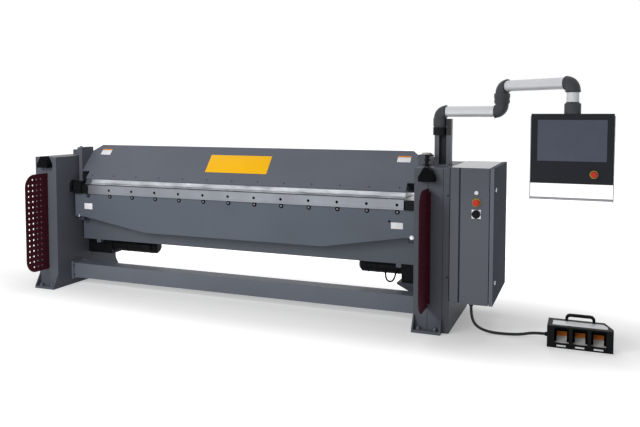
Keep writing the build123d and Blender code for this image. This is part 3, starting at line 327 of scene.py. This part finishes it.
# The CAD nodes that have each look
LOOK = {
    "column": ("left_column", "right_column", "right_side_cover", "left_clamp_guide", "right_clamp_guide"),
    "rail": ("base_rail",),
    "beam": ("lower_beam", "clamp_core"),
    "apron": ("apron_plate",),
    "hood": ("hood_plate",),
    "lug": ("motor_shelf", "drive_lugs"),
    "guard": ("left_guard", "right_guard"),
    "cabinet": ("cabinet_shell",),
    "door": ("cabinet_door",),
    "steel": ("bed",),
    "die": ("apron_blade",),
    "blade": ("clamp_blade",),
    "zinc": ("lift_rods",),
    "silver": ("switch_plate",),
    "black": ("pivot_bearings", "pivot_ears", "gear_motors", "adjusting_screws", "main_switch",
              "conduit_glands"),
    "lamp": ("work_lamps",),
    "white": ("pilot_lamp",),
    "olive": ("cabinet_stop_collar",),
    "red": ("cabinet_stop_button", "panel_stop_button"),
    "mast": ("mast",),
    "elbow": ("lower_arm_elbows", "upper_arm_elbows", "panel_coupling"),
    "tube": ("lower_tube", "upper_tube", "drop_tube"),
    "panel": ("panel_housing",),
    "screen": ("screen",),
    "handle": ("panel_handle",),
    "housing": ("foot_switch_housing", "foot_switch_handle"),
    "pedal_1": ("pedal_1",),
    "pedal_2": ("pedal_2",),
    "pedal_3": ("pedal_3",),
    "rubber": ("foot_switch_conduit",),
}
for look, names in LOOK.items():
    for name in names:
        NODES[name].data.materials.clear()
        NODES[name].data.materials.append(MATERIAL[look])
conduit.data.materials.append(MATERIAL["rubber"])

# The angle over which a small piece's edges stay sharp
SMOOTH_ANGLE = math.radians(35)


# Shapes of the small pieces, all in the machine's millimetres
def dress(piece, body, look):
    """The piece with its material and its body."""
    piece.data.materials.append(MATERIAL[look])
    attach(piece, body)


def finish_piece(name, mesh, body, look):
    """The mesh as a piece of one body, smooth but for its sharp edges."""
    bmesh.ops.recalc_face_normals(mesh, faces=mesh.faces)
    for face in mesh.faces:
        face.smooth = True
    for edge in mesh.edges:
        edge.smooth = edge.calc_face_angle(0.0) < SMOOTH_ANGLE
    data = bpy.data.meshes.new(name)
    mesh.to_mesh(data)
    mesh.free()
    piece = bpy.data.objects.new(name, data)
    bpy.context.scene.collection.objects.link(piece)
    dress(piece, body, look)


def turned(mesh, place, direction, profile, sides=24, ring_shape=False):
    """A turned shape along a direction, from pairs of radius and height, solid or as a ring."""
    axis = Vector(direction).normalized()
    first = axis.orthogonal().normalized() if abs(axis.z) >= 0.9 else axis.cross(UP).normalized()
    second = axis.cross(first)
    rings = []
    for radius, height in profile:
        centre = Vector(place) + axis * height
        ring = []
        for step in range(sides):
            angle = 2 * math.pi * step / sides
            spot = centre + (first * math.cos(angle) + second * math.sin(angle)) * radius
            ring.append(mesh.verts.new(at(*spot)))
        rings.append(ring)
    if ring_shape:
        rings.append(rings[0])
    for ring, after in zip(rings, rings[1:]):
        for step in range(sides):
            beyond = (step + 1) % sides
            mesh.faces.new((ring[step], ring[beyond], after[beyond], after[step]))
    if not ring_shape:
        mesh.faces.new(rings[0][::-1])
        mesh.faces.new(rings[-1])


def prism(mesh, corners, lift, edge):
    """A flat shape of any outline, given its thickness as a vector, with its edges broken."""
    lift = Vector(lift)
    low = [mesh.verts.new(at(*corner)) for corner in corners]
    high = [mesh.verts.new(at(*(Vector(corner) + lift))) for corner in corners]
    faces = [mesh.faces.new(low[::-1]), mesh.faces.new(high)]
    for step in range(len(low)):
        beyond = (step + 1) % len(low)
        faces.append(mesh.faces.new((low[step], low[beyond], high[beyond], high[step])))
    edges = {side for face in faces for side in face.edges}
    bmesh.ops.bevel(mesh, geom=list(edges), offset=edge / 1000, segments=2, affect="EDGES", profile=0.5)


def brick(mesh, low, high, edge):
    """A box with its edges broken."""
    x0, y0, z0 = low
    x1, y1, z1 = high
    prism(mesh, [(x0, y0, z0), (x1, y0, z0), (x1, y1, z0), (x0, y1, z0)], (0, 0, z1 - z0), edge)


def socket_screw(mesh, place, direction, radius, height):
    """A cylinder head with its socket."""
    rim = radius * 0.12
    turned(mesh, place, direction, [(radius, 0), (radius, height - rim), (radius - rim, height),
                                    (radius * 0.52, height), (radius * 0.5, height * 0.4)], 20)


def hexagon_screw(mesh, place, direction, radius, height, washer=0.0):
    """A hexagon head, on a washer where it has a radius for one."""
    if washer:
        turned(mesh, place, direction, [(washer, 0), (washer, 2), (washer - 0.5, 2.5)])
        place = Vector(place) + Vector(direction).normalized() * 2.5
    rim = radius * 0.1
    turned(mesh, place, direction, [(radius, 0), (radius, height - rim), (radius - rim, height)], 6)


# Folding beam: its front face is at Y 0, and the strip's is a little before it
SCREW_PLACES = range(-1500, 1501, 250)
APRON_SCREW_Z = 857
WELL_PROUD = 1.2
STRIP_SCREW_Z = 914
STRIP_FRONT = -14
SMALL_SCREW = (1435, 0, 780)
CORNER_BOLT_X = 1617
CORNER_BOLT_Z = 661
LABEL_THICK = 0.8
LABEL_EDGE = 0.2
APRON_LABELS = ((-1545, -1454, 727, 783), (1449, 1546, 723, 773))


def apron_well_shade(mesh):
    """Painted shade: near-black rims for the shade in the counterbores of the beam plate's screws and the
    strip's sunk screw holes, and one small screw in the same near-black.
    """
    for x in SCREW_PLACES:
        turned(mesh, (x, 0, APRON_SCREW_Z), FORWARD, [(20, -0.5), (20, 0.8), (19.2, WELL_PROUD)], 28)
    for x in SCREW_PLACES[1:]:
        turned(mesh, (x, STRIP_FRONT, STRIP_SCREW_Z), FORWARD,
               [(12, -0.5), (12, 0.4), (11.4, 0.7), (6.6, 0.7), (6.4, 0.2)], 20)
    hexagon_screw(mesh, SMALL_SCREW, FORWARD, 7, 4, 9)


def apron_screws(mesh):
    """The socket screws on the dark rims."""
    for x in SCREW_PLACES:
        socket_screw(mesh, (x, -WELL_PROUD, APRON_SCREW_Z), FORWARD, 9, 5)


def apron_corner_bolts(mesh):
    """A bright bolt at each lower corner."""
    for side in (-1, 1):
        hexagon_screw(mesh, (side * CORNER_BOLT_X, 0, CORNER_BOLT_Z), FORWARD, 13, 8, 17)


def apron_labels(mesh):
    """Two blank labels."""
    for low_x, high_x, low, high in APRON_LABELS:
        brick(mesh, (low_x, -LABEL_THICK, low), (high_x, 0, high), LABEL_EDGE)


# Hood: its outer face slopes up from its lower edge
HOOD_EDGE = Vector((0, 40, 1015))
HOOD_UP = Vector((0, 266, 309)).normalized()
HOOD_OUT = Vector((0, -309, 266)).normalized()
HOOD_SCREW_RISE = 36
HOOD_LABELS = ((-1527, -1417, 288, 358), (1434, 1545, 290, 353))
BAND_WIDTH = 14
BAND_GAP = 1


def on_hood(x, along):
    """A point on the hood's outer face, along its slope from the lower edge."""
    spot = HOOD_EDGE + HOOD_UP * along
    return (x, spot.y, spot.z)


def hood_patch(mesh, low_x, high_x, low, high, thick=LABEL_THICK, edge=LABEL_EDGE):
    """A thin plate on the hood's outer face."""
    corners = [on_hood(low_x, low), on_hood(high_x, low), on_hood(high_x, high), on_hood(low_x, high)]
    prism(mesh, corners, HOOD_OUT * thick, edge)


def hood_screws(mesh):
    """The row of screws over the blade."""
    for x in SCREW_PLACES:
        socket_screw(mesh, on_hood(x, HOOD_SCREW_RISE), HOOD_OUT, 5.5, 2.5)


def hood_plate_yellow(mesh):
    """The large plate, left bare."""
    hood_patch(mesh, -301, 305, 122, 316, 1.2, 0.3)


def hood_labels(mesh):
    """The white parts of the two blank labels."""
    for low_x, high_x, low, high in HOOD_LABELS:
        hood_patch(mesh, low_x, high_x, low, high - BAND_WIDTH - BAND_GAP)


def hood_label_bands(mesh):
    """The coloured bands along the labels' upper edges."""
    for low_x, high_x, _, high in HOOD_LABELS:
        hood_patch(mesh, low_x, high_x, high - BAND_WIDTH, high)


# Columns, rail, side cover and mast
COLUMN_INNER = 1684
COLUMN_OUTER = 1901
COLUMN_FRONT = -217
COLUMN_BACK = 643
COLUMN_TOP = 1227
ANCHOR_INSET = 45
ANCHOR_OFFSET = 33
FOOT_PLATE_TOP = 20
WASHER_HEIGHT = 3
NUT_HEIGHT = 13
RAIL_FLANGE_X = 1664
RAIL_SCREWS_Y = (-25, 139)
RAIL_SCREWS_Z = (92, 182)
COVER_SCREW_X = 1936
COVER_SCREWS_Z = (424, 1029)
MAST_FLANGE_TOP = COLUMN_TOP + 10
MAST_SCREWS_X = (1771, 1893)
MAST_SCREWS_Y = (54, 134)
STEP_FRONT = -221
STEP_LOW = 246
STEP_HIGH = 1234
JOINT_PROUD = 0.6


def frame_bolts(mesh):
    """Anchor bolts of the columns, each a washer, a nut and the thread's end."""
    for side in (-1, 1):
        for x in (side * (COLUMN_INNER + ANCHOR_INSET), side * (COLUMN_OUTER - ANCHOR_INSET)):
            for y in (COLUMN_FRONT - ANCHOR_OFFSET, COLUMN_BACK + ANCHOR_OFFSET):
                nut_z = FOOT_PLATE_TOP + WASHER_HEIGHT
                turned(mesh, (x, y, FOOT_PLATE_TOP), UP, [(19, 0), (19, 2.5), (18, WASHER_HEIGHT)], 28)
                hexagon_screw(mesh, (x, y, nut_z), UP, 16, NUT_HEIGHT)
                turned(mesh, (x, y, nut_z + NUT_HEIGHT), UP, [(9, 0), (9, 8), (7.5, 9.5)], 20)


def cover_screws(mesh):
    """Screws of the rail's end plates, the side cover and the mast's flange."""
    for side in (-1, 1):
        for y in RAIL_SCREWS_Y:
            for z in RAIL_SCREWS_Z:
                hexagon_screw(mesh, (side * RAIL_FLANGE_X, y, z), (-side, 0, 0), 7, 5)
    for z in COVER_SCREWS_Z:
        socket_screw(mesh, (COVER_SCREW_X, COLUMN_FRONT, z), FORWARD, 6, 3)
    for x in MAST_SCREWS_X:
        for y in MAST_SCREWS_Y:
            hexagon_screw(mesh, (x, y, MAST_FLANGE_TOP), UP, 6, 6)


def front_line(mesh, low_x, high_x, face, low, high):
    """A thin upright strip on a face that looks forward."""
    brick(mesh, (low_x, face - JOINT_PROUD, low), (high_x, face, high), 0.1)


def plate_gap_shade(mesh):
    """Thin near-black strips painted as the shade in the gaps between the column, its cover and the
    cabinet.
    """
    front_line(mesh, 1900, 1902, COLUMN_FRONT, 24, 1224)
    front_line(mesh, 1949, 1953, STEP_FRONT, STEP_LOW, STEP_HIGH)


def mast_duct_and_step_shade(mesh):
    """The duct in the mast's channel, and a dark band painted as the shade beside the step in the cabinet's
    front strip.
    """
    front_line(mesh, 2015, 2030, STEP_FRONT, STEP_LOW, STEP_HIGH)
    brick(mesh, (1811, 92, 1239), (1865, 95, 1462), 0.8)


# Adjusting screw on the right column
SCREW_Y = -45
STEM_LOW = 1290
STEM_HEIGHT = 27


def screw_stem(mesh):
    """The screw's upper end and its lever."""
    turned(mesh, (1742, SCREW_Y, STEM_LOW), UP, [(14, 0), (14, STEM_HEIGHT)])
    turned(mesh, (1770, SCREW_Y, 1310), (1, 0, 0.25), [(5, -22), (5, 20), (4, 22)], 14)


def screw_cap(mesh):
    """The round cap on the stem."""
    turned(mesh, (1738, SCREW_Y, STEM_LOW + STEM_HEIGHT), UP,
           [(30, 0), (37, 3), (37, 10), (33, 15), (12, 17)], 40)


# Gear motors under the lower beam: side, inner end, radius and height of each
MOTORS = ((1, 1104, 61, 359.6), (-1, 914, 65, 355.6))
MOTOR_Y = 300
MOTOR_RINGS = ((70, 3), (150, 2), (330, 2))
END_SCREWS = 9
END_SCREW_CIRCLE = 30
CABLE_ROUTE = [(1338, 250, 325), (1340, 236, 286), (1360, 232, 243), (1402, 232, 243), (1424, 236, 288),
               (1428, 250, 325)]
CABLE_RADIUS = 7


def motor_fittings(mesh):
    """The left motor's terminal box, and both motors' rings and end screws."""
    brick(mesh, (-1095, 216, 332), (-966, 240, 384), 4)
    for side, end, radius, z in MOTORS:
        for offset, proud in MOTOR_RINGS:
            turned(mesh, (side * (end + offset), MOTOR_Y, z), (side, 0, 0),
                   [(radius - 1, 0), (radius + proud, 2), (radius + proud, 10), (radius - 1, 12)], 48)
        for step in range(END_SCREWS):
            angle = 2 * math.pi * step / END_SCREWS
            spot = (side * end, MOTOR_Y + END_SCREW_CIRCLE * math.sin(angle),
                    z + END_SCREW_CIRCLE * math.cos(angle))
            turned(mesh, spot, (-side, 0, 0), [(4, -1), (4, 1.5), (3, 2.5)], 12)


# Foot switch
BAY_CENTRES = (2737, 2857, 2977)
FOOT_FRONT = -242
ROOF_LABEL = ((2676, -202), (3034, -202), (3034, -150), (3010, -92), (2676, -92))
ROOF_LABEL_LOW = 152.6
ROOF_SCREWS = ((2654, -226), (3058, -226), (2654, -54), (3002, -54))
ROOF_SCREW_LOW = 152.8


def foot_switch_labels(mesh):
    """The roof's large blank label and a small one under each pedal."""
    prism(mesh, [(x, y, ROOF_LABEL_LOW) for x, y in ROOF_LABEL], (0, 0, 1.2), 0.3)
    for centre in BAY_CENTRES:
        brick(mesh, (centre - 30, FOOT_FRONT - 0.6, 12), (centre + 30, FOOT_FRONT + 0.2, 23), LABEL_EDGE)


def foot_switch_lip(mesh):
    """The lip under each pedal, and the roof's screws."""
    for centre in BAY_CENTRES:
        brick(mesh, (centre - 47.6, FOOT_FRONT, 4), (centre + 47.6, -236, 32), 1.5)
    for x, y in ROOF_SCREWS:
        turned(mesh, (x, y, ROOF_SCREW_LOW), UP, [(5, -0.5), (5, 0.9), (4, 1.8), (2, 1.8), (1.8, 0.9)], 16)


# Control panel and cabinet door
PANEL_STOP_PLACE = (2920.7, -410.7, 1230)
LOCK_X = 2266
LOCK_Y = -156
LOCKS_Z = (398, 1078)


def panel_stop_ring(mesh):
    """The ring around the panel's stop button."""
    turned(mesh, PANEL_STOP_PLACE, FORWARD,
           [(26.5, -0.3), (26.5, 0.4), (25.9, 0.8), (21.5, 0.8), (21.5, -0.3)], 48, ring_shape=True)


def door_lock_rings(mesh):
    """Bright rings on the faces of the door's two locks."""
    for z in LOCKS_Z:
        turned(mesh, (LOCK_X, LOCK_Y, z), (1, 0, 0),
               [(16, -0.3), (16, 7.2), (15.2, 8), (8, 8), (8, 6.9), (13.9, 6.9), (13.9, -0.3)], 32,
               ring_shape=True)


# Swing arm: its corners, and the headings of its two tubes
def heading(degrees):
    """A level direction, by its turn from X."""
    return Vector((math.cos(math.radians(degrees)), math.sin(math.radians(degrees)), 0))


LOWER = heading(-10.5)
UPPER = heading(-36)
MAST_HEAD = Vector((1810, 94, 1645))
LOW_CORNER = MAST_HEAD + LOWER * 481
HIGH_CORNER = LOW_CORNER + UP * 186
PANEL_CORNER = HIGH_CORNER + UPPER * 614
SOCKET_REACH = 52
SOCKET_RADIUS = 49.5
SOCKET_WIDTH = 9


def arm_bands(mesh, bands):
    """Raised bands with two grub screws each, given by the end, the direction, the radius and the width."""
    for end, direction, radius, width in bands:
        turned(mesh, end, direction,
               [(radius - 4, -width), (radius, -width + 1), (radius, -1), (radius - 4, 0)], 48)
        axis = Vector(direction).normalized()
        side = axis.cross(UP) if abs(axis.z) < 0.9 else FORWARD
        for sign in (-1, 1):
            place = Vector(end) - axis * (width / 2) + side * sign * (radius - 1)
            turned(mesh, place, side * sign, [(4, 0), (4, 1.6), (3.4, 2), (1.8, 2), (1.7, 0.8)], 14)


def lower_arm_bands(mesh):
    """The lower arm's two tube sockets, and the bands at its ends."""
    arm_bands(mesh, [(MAST_HEAD + LOWER * SOCKET_REACH, LOWER, SOCKET_RADIUS, SOCKET_WIDTH),
                     (MAST_HEAD - UP * 50, UP, 52.5, 62),
                     (LOW_CORNER + UP * 84, UP, 56.2, 20),
                     (LOW_CORNER - LOWER * SOCKET_REACH, -LOWER, SOCKET_RADIUS, SOCKET_WIDTH)])


def upper_arm_bands(mesh):
    """The upper arm's two tube sockets, and the bands at its ends."""
    arm_bands(mesh, [(HIGH_CORNER + UPPER * SOCKET_REACH, UPPER, SOCKET_RADIUS, SOCKET_WIDTH),
                     (HIGH_CORNER - UP * 54, UP, 57.5, 34),
                     (PANEL_CORNER - UP * 50, UP, 50, 8),
                     (PANEL_CORNER - UPPER * SOCKET_REACH, -UPPER, SOCKET_RADIUS, SOCKET_WIDTH)])


def mast_collar_band(mesh):
    """The dark collar at the mast's head."""
    turned(mesh, MAST_HEAD - UP * 122, UP, [(50, -58), (52.8, -57), (52.8, -1), (50, 0)], 48)


# Each small piece's name, shape, body and look
PIECES = (
    ("apron_well_shade", apron_well_shade, "folding_beam", "shadow"),
    ("apron_screws", apron_screws, "folding_beam", "zinc"),
    ("apron_corner_bolts", apron_corner_bolts, "folding_beam", "bright"),
    ("hood_screws", hood_screws, "clamping_beam", "black"),
    ("hood_plate_yellow", hood_plate_yellow, "clamping_beam", "yellow"),
    ("hood_labels", hood_labels, "clamping_beam", "white"),
    ("hood_label_bands", hood_label_bands, "clamping_beam", "amber"),
    ("apron_labels", apron_labels, "folding_beam", "white"),
    ("frame_bolts", frame_bolts, "frame", "zinc"),
    ("cover_screws", cover_screws, "frame", "black"),
    ("plate_gap_shade", plate_gap_shade, "frame", "shadow"),
    ("mast_duct_and_step_shade", mast_duct_and_step_shade, "frame", "duct"),
    ("screw_stem", screw_stem, "frame", "black"),
    ("screw_cap", screw_cap, "frame", "grey"),
    ("motor_fittings", motor_fittings, "frame", "black"),
    ("foot_switch_labels", foot_switch_labels, "frame", "white"),
    ("foot_switch_lip", foot_switch_lip, "frame", "housing"),
    ("panel_stop_ring", panel_stop_ring, "control_panel", "olive"),
    ("door_lock_rings", door_lock_rings, "cabinet_door", "bright"),
    ("lower_arm_bands", lower_arm_bands, "lower_arm", "elbow"),
    ("upper_arm_bands", upper_arm_bands, "upper_arm", "elbow"),
    ("mast_collar_band", mast_collar_band, "frame", "black"),
)
for name, shape, body, look in PIECES:
    mesh = bmesh.new()
    shape(mesh)
    finish_piece(name, mesh, body, look)
motor_cable = round_line("motor_cable", CABLE_ROUTE, CABLE_RADIUS, 12, 4)
dress(motor_cable, "frame", "black")


# Floor and world: white to the camera and in mirror images, so that only the shadows near the machine show
def seen_by(tree, *rays):
    """One for the named kinds of ray, and nought for all others."""
    path = node(tree, "ShaderNodeLightPath")
    result = path.outputs[rays[0]]
    for ray in rays[1:]:
        larger = node(tree, "ShaderNodeMath", operation="MAXIMUM")
        tree.links.new(result, larger.inputs[0])
        tree.links.new(path.outputs[ray], larger.inputs[1])
        result = larger.outputs[0]
    return result


FLOOR_REACH = 40
FLOOR_LOW = -0.001
FLOOR_SQUEEZE = (0.26, 1, 1)
FADE_START = 0.5
FADE_END = 1.55
FLOOR_GLOW = 0.3
WORLD_FILL = 0.2
WHITE = (1, 1, 1, 1)

floor_mesh = bpy.data.meshes.new("floor")
floor_mesh.from_pydata([(x * FLOOR_REACH, y * FLOOR_REACH, FLOOR_LOW)
                        for x, y in ((-1, -1), (1, -1), (1, 1), (-1, 1))], [], [(0, 1, 2, 3)])
floor = bpy.data.objects.new("floor", floor_mesh)
bpy.context.scene.collection.objects.link(floor)
floor_material, floor_tree, floor_shader = new_material("floor_white")
floor_shader.inputs["Base Color"].default_value = (0.8, 0.8, 0.8, 1)
floor_shader.inputs["Roughness"].default_value = 0.9
floor_shader.inputs["Specular IOR Level"].default_value = 0.0
floor_shader.inputs["Emission Color"].default_value = WHITE
floor_place = node(floor_tree, "ShaderNodeTexCoord")
squeeze = node(floor_tree, "ShaderNodeMapping")
squeeze.inputs["Scale"].default_value = FLOOR_SQUEEZE
floor_tree.links.new(floor_place.outputs["Object"], squeeze.inputs["Vector"])
distance = node(floor_tree, "ShaderNodeVectorMath", operation="LENGTH")
floor_tree.links.new(squeeze.outputs["Vector"], distance.inputs[0])
fade = node(floor_tree, "ShaderNodeMapRange", interpolation_type="SMOOTHSTEP")
fade.inputs["From Min"].default_value = FADE_START
fade.inputs["From Max"].default_value = FADE_END
floor_tree.links.new(distance.outputs["Value"], fade.inputs["Value"])
shown = node(floor_tree, "ShaderNodeMath", operation="MULTIPLY")
floor_tree.links.new(spread(floor_tree, fade.outputs["Result"], FLOOR_GLOW, 1.0), shown.inputs[0])
floor_tree.links.new(seen_by(floor_tree, "Is Camera Ray", "Is Glossy Ray"), shown.inputs[1])
floor_tree.links.new(shown.outputs[0], floor_shader.inputs["Emission Strength"])
floor_mesh.materials.append(floor_material)

world = bpy.data.worlds.new("world")
bpy.context.scene.world = world
world.use_nodes = True
world_tree = world.node_tree
background = world_tree.nodes["Background"]
background.inputs["Color"].default_value = WHITE
seen = seen_by(world_tree, "Is Camera Ray", "Is Glossy Ray", "Is Transmission Ray")
world_tree.links.new(spread(world_tree, seen, WORLD_FILL, 1.0), background.inputs["Strength"])


# Lamps, placed in metres
def lamp(name, place, target, size, power):
    """A large soft lamp that looks at a point and shows in no mirror image."""
    data = bpy.data.lights.new(name, "AREA")
    data.shape = "RECTANGLE"
    data.size = size[0]
    data.size_y = size[1]
    data.energy = power
    made = bpy.data.objects.new(name, data)
    bpy.context.scene.collection.objects.link(made)
    made.location = place
    made.visible_glossy = False
    made.visible_camera = False
    made.rotation_euler = (Vector(target) - Vector(place)).to_track_quat("-Z", "Y").to_euler()


lamp("key", (-1.9, -4.8, 3.3), (-1.2, 0, 0.8), (2.0, 2.0), 140)
lamp("front", (-0.6, -8.5, 2.8), (0.5, 0, 0.8), (4, 2.5), 150)
lamp("top", (0, 1.6, 6.0), (0, 0, 0), (7, 3), 90)
lamp("back", (-1.0, 7.5, 4.0), (0, 0, 0.8), (5, 3), 190)

# Picture settings
bpy.context.scene.view_settings.view_transform = "Standard"
